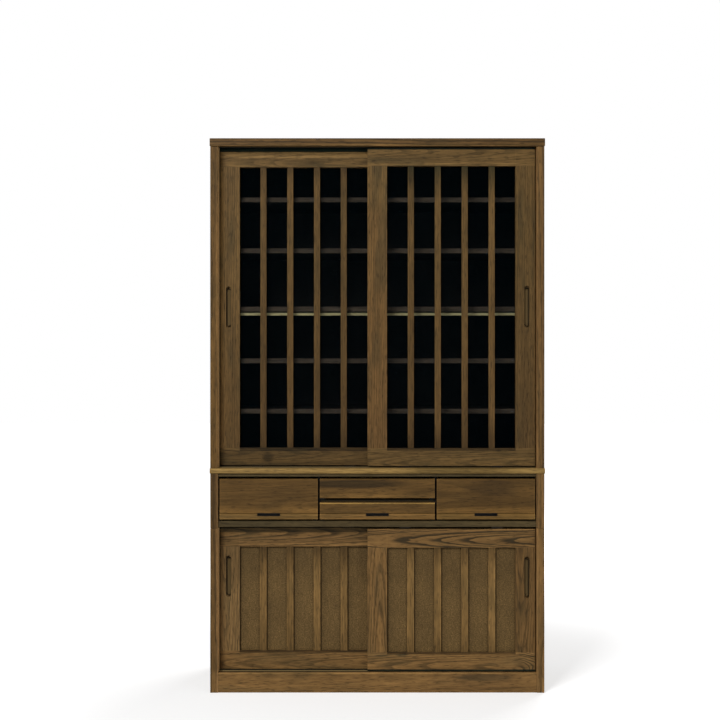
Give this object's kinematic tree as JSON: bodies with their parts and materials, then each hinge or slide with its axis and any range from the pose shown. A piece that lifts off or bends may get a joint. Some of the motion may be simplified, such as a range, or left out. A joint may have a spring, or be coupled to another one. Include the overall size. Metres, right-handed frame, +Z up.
{
  "type": "kitchen cupboard",
  "caption": "Tall two-part kitchen cupboard with sliding slatted glass doors above, a row of drawers, and sliding slatted panel doors below on a plinth.",
  "frame": {"origin": "on the floor, under the middle of the cupboard's outline", "axes": "+Z up, +X to the right of someone facing the cupboard, front towards -Y"},
  "size_m": [1.2, 0.45, 1.985],
  "materials": {
    "stained_ash": "satin dark-brown stain over open-pored ash",
    "slat_ash": "satin brown stain over straight-grained ash",
    "drawer_ash": "satin dark-brown stain, grain running across",
    "sill_ash": "satin brown stain, a shade lighter",
    "rail_ash": "satin dark-brown stain",
    "interior_ash": "matt dark stain",
    "back_plywood": "matt dark printed plywood",
    "carcass_softwood": "unfinished softwood",
    "drawer_box_wood": "pale unfinished light wood",
    "pale_batten": "pale clear-finished wood",
    "dowel_beech": "unfinished beech",
    "textured_panel": "matt fine-textured facing on plywood",
    "tinted_glass": "dark bronze tint",
    "track_plastic": "dark-brown extruded plastic",
    "glide_nylon": "dark moulded nylon",
    "pin_brass": "plain brass"
  },
  "bodies": {
    "carcass": {"base_left_side": "stained_ash", "base_right_side": "stained_ash", "drawer_case_left_side": "stained_ash", "drawer_case_right_side": "stained_ash", "plinth_front_rail": "stained_ash", "plinth_bearers": "carcass_softwood", "base_floor_board": "interior_ash", "base_back_panel": "back_plywood", "base_shelf": "interior_ash", "base_sill_track": "track_plastic", "base_head_track": "track_plastic", "drawer_floor_board": "rail_ash", "drawer_dividers": "interior_ash", "centre_drawer_shelf": "interior_ash", "lower_top_board": "rail_ash", "case_dowels": "dowel_beech", "sill_board": "sill_ash", "upper_left_side": "stained_ash", "upper_right_side": "stained_ash", "top_board": "stained_ash", "upper_back_panel": "back_plywood", "upper_sill_track": "track_plastic", "upper_head_track": "track_plastic", "fixed_shelf": "interior_ash", "fixed_shelf_batten": "pale_batten", "loose_shelves": "interior_ash", "shelf_pins": "pin_brass"},
    "upper_left_door": {"upper_left_door_pull_stile": "stained_ash", "upper_left_door_meeting_stile": "stained_ash", "upper_left_door_rails": "stained_ash", "upper_left_door_slats": "slat_ash", "upper_left_door_glides": "glide_nylon", "upper_left_door_glass": "tinted_glass"},
    "upper_right_door": {"upper_right_door_pull_stile": "stained_ash", "upper_right_door_meeting_stile": "stained_ash", "upper_right_door_rails": "stained_ash", "upper_right_door_slats": "slat_ash", "upper_right_door_glides": "glide_nylon", "upper_right_door_glass": "tinted_glass"},
    "lower_left_door": {"lower_left_door_pull_stile": "stained_ash", "lower_left_door_meeting_stile": "stained_ash", "lower_left_door_rails": "stained_ash", "lower_left_door_slats": "slat_ash", "lower_left_door_glides": "glide_nylon", "lower_left_door_panel": "textured_panel"},
    "lower_right_door": {"lower_right_door_pull_stile": "stained_ash", "lower_right_door_meeting_stile": "stained_ash", "lower_right_door_rails": "stained_ash", "lower_right_door_slats": "slat_ash", "lower_right_door_glides": "glide_nylon", "lower_right_door_panel": "textured_panel"},
    "left_drawer": {"left_drawer_front": "drawer_ash", "left_drawer_box": "drawer_box_wood"},
    "right_drawer": {"right_drawer_front": "drawer_ash", "right_drawer_box": "drawer_box_wood"},
    "centre_upper_drawer": {"centre_upper_drawer_front": "drawer_ash", "centre_upper_drawer_box": "drawer_box_wood"},
    "centre_lower_drawer": {"centre_lower_drawer_front": "drawer_ash", "centre_lower_drawer_box": "drawer_box_wood"}
  },
  "joints": [
    {"name": "upper_left_door_slide", "type": "slide", "parent": "carcass", "child": "upper_left_door", "axis": [1, 0, 0], "range_m": [0, 0.532]},
    {"name": "upper_right_door_slide", "type": "slide", "parent": "carcass", "child": "upper_right_door", "axis": [-1, 0, 0], "range_m": [0, 0.532]},
    {"name": "lower_left_door_slide", "type": "slide", "parent": "carcass", "child": "lower_left_door", "axis": [1, 0, 0], "range_m": [0, 0.532]},
    {"name": "lower_right_door_slide", "type": "slide", "parent": "carcass", "child": "lower_right_door", "axis": [-1, 0, 0], "range_m": [0, 0.532]},
    {"name": "left_drawer_slide", "type": "slide", "parent": "carcass", "child": "left_drawer", "axis": [0, -1, 0], "range_m": [0, 0.3]},
    {"name": "right_drawer_slide", "type": "slide", "parent": "carcass", "child": "right_drawer", "axis": [0, -1, 0], "range_m": [0, 0.3]},
    {"name": "centre_upper_drawer_slide", "type": "slide", "parent": "carcass", "child": "centre_upper_drawer", "axis": [0, -1, 0], "range_m": [0, 0.3]},
    {"name": "centre_lower_drawer_slide", "type": "slide", "parent": "carcass", "child": "centre_lower_drawer", "axis": [0, -1, 0], "range_m": [0, 0.3]}
  ]
}
